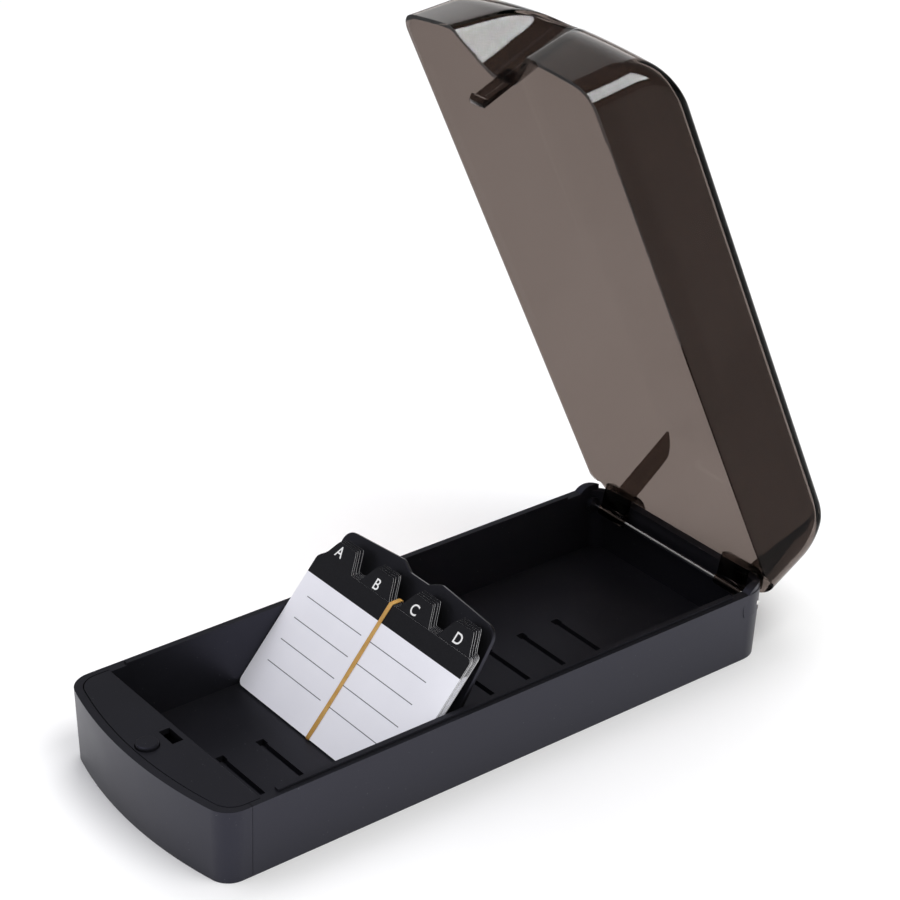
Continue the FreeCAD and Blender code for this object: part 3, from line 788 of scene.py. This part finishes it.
for node, width in (("tray_shell", 0.35), ("front_cover", 0.35), ("latch_deck", 0.3),
                    ("hinge_collar_left", 0.3), ("hinge_collar_right", 0.3)):
    softened(node, "tray", tray_plastic, width * MM)
softened("follower_plate", "follower", follower_plastic, 0.3 * MM)
softened("release_button", "button", tray_plastic, 0.15 * MM)
softened("latch_slide", "latch", tray_plastic, 0.1 * MM)
for node, material in (("hinge_rod", rod_steel), ("button_spring", plain_steel),
                       ("deck_screws", plain_steel), ("cover_screws", plain_steel)):
    frame["nodes"][node].data.materials.clear()
    frame["nodes"][node].data.materials.append(material)
    shade(frame["nodes"][node], 40)

lid = lid_body(smoke)
shade(lid, 35)
lid_pieces = [lid] + lid_fittings(smoke)
for piece in lid_pieces:
    swung_open(piece)
    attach(piece, "lid")
    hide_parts("lid_shell")

card_origins = [index_guide(number, card_face, shaded_card_cut) for number in range(guide_count)]
for number, (text, across, up) in enumerate(letter_places):
    index_letter(text, number, across, up, card_origins[number], white_ink)
rubber_band(rubber)


# ======================================================================================
# Floor, light and camera
# ======================================================================================

def studio_floor():
    bpy.ops.mesh.primitive_plane_add(size=12, location=(0, 0, 0))
    floor = bpy.context.object
    floor.name = "floor"
    material, _, _, shader = new_material("floor_paper")
    shader.inputs["Base Color"].default_value = (0.95, 0.95, 0.95, 1)
    shader.inputs["Roughness"].default_value = 0.9
    shader.inputs["Specular IOR Level"].default_value = 0.1
    floor.data.materials.append(material)
    return floor


def area_light(name, place, target, size, power, size_y=None):
    data = bpy.data.lights.new(name, "AREA")
    data.shape = "RECTANGLE"
    data.size = size
    data.size_y = size_y or size
    data.energy = power
    light = bpy.data.objects.new(name, data)
    light.location = place
    light.rotation_euler = (Vector(target) - Vector(place)).to_track_quat("-Z", "Y").to_euler()
    bpy.context.scene.collection.objects.link(light)
    return light


def reaches_only(light, pieces):
    """Let a light fall on these pieces and on nothing else."""
    group = bpy.data.collections.new(light.name + "_reach")
    for piece in pieces:
        group.objects.link(piece)
    light.light_linking.receiver_collection = group


def sky():
    world = bpy.data.worlds.new("studio")
    world.use_nodes = True
    nodes = world.node_tree.nodes
    links = world.node_tree.links
    background = nodes["Background"]
    path = nodes.new("ShaderNodeLightPath")
    seen = nodes.new("ShaderNodeMath")
    seen.operation = "MAXIMUM"
    links.new(path.outputs["Is Camera Ray"], seen.inputs[0])
    links.new(path.outputs["Is Transmission Ray"], seen.inputs[1])
    level = nodes.new("ShaderNodeMapRange")
    level.inputs["To Min"].default_value = 0.58
    level.inputs["To Max"].default_value = 1.0
    links.new(seen.outputs["Value"], level.inputs["Value"])
    mirror = nodes.new("ShaderNodeMix")
    mirror.data_type = "FLOAT"
    mirror.inputs["B"].default_value = 0.2
    links.new(path.outputs["Is Glossy Ray"], mirror.inputs["Factor"])
    links.new(level.outputs["Result"], mirror.inputs["A"])
    links.new(mirror.outputs["Result"], background.inputs["Strength"])
    background.inputs["Color"].default_value = (1, 1, 1, 1)
    bpy.context.scene.world = world


def camera():
    azimuth, elevation, roll = radians(52.523), radians(27.789), radians(0.285)
    back = Vector((sin(azimuth) * cos(elevation), -cos(azimuth) * cos(elevation),
                   sin(elevation)))
    data = bpy.data.cameras.new("camera")
    data.sensor_width = 36
    data.lens = 101.04
    view = bpy.data.objects.new("camera", data)
    view.location = (0.6872, -0.5139, 0.5678)
    turn = back.to_track_quat("Z", "Y").to_matrix().to_4x4() @ Matrix.Rotation(roll, 4, "Z")
    view.matrix_world = Matrix.Translation(view.location) @ turn
    bpy.context.scene.collection.objects.link(view)
    bpy.context.scene.camera = view


floor = studio_floor()
sky()
key = area_light("key", (0.75, 0.2, 1.5), (0, 0.1, 0.1), 0.9, 13)
key.visible_glossy = False
fill = area_light("fill", (-0.5, -0.5, 1.7), (0, 0, 0.05), 1.2, 7)
fill.data.color = (0.90, 0.90, 1.0)
floor_light = area_light("floor_light", (-0.9, 1.0, 2.0), (0.1, 0.5, 0), 1.2, 13)
reaches_only(floor_light, [floor])
for name, place, size, power in (("near_softbox", (1.05, 0.18, 1.27), 0.85, 300),
                                 ("far_softbox", (0.9, 0.88, 1.12), 0.75, 170),
                                 ("top_softbox", (-1.17, 0.8, 0.91), 1.1, 8)):
    box = area_light(name, place, (0, 0.1, 0.2), size, power)
    box.visible_transmission = False
    reaches_only(box, lid_pieces)
camera()
bpy.context.scene.view_settings.view_transform = "Standard"
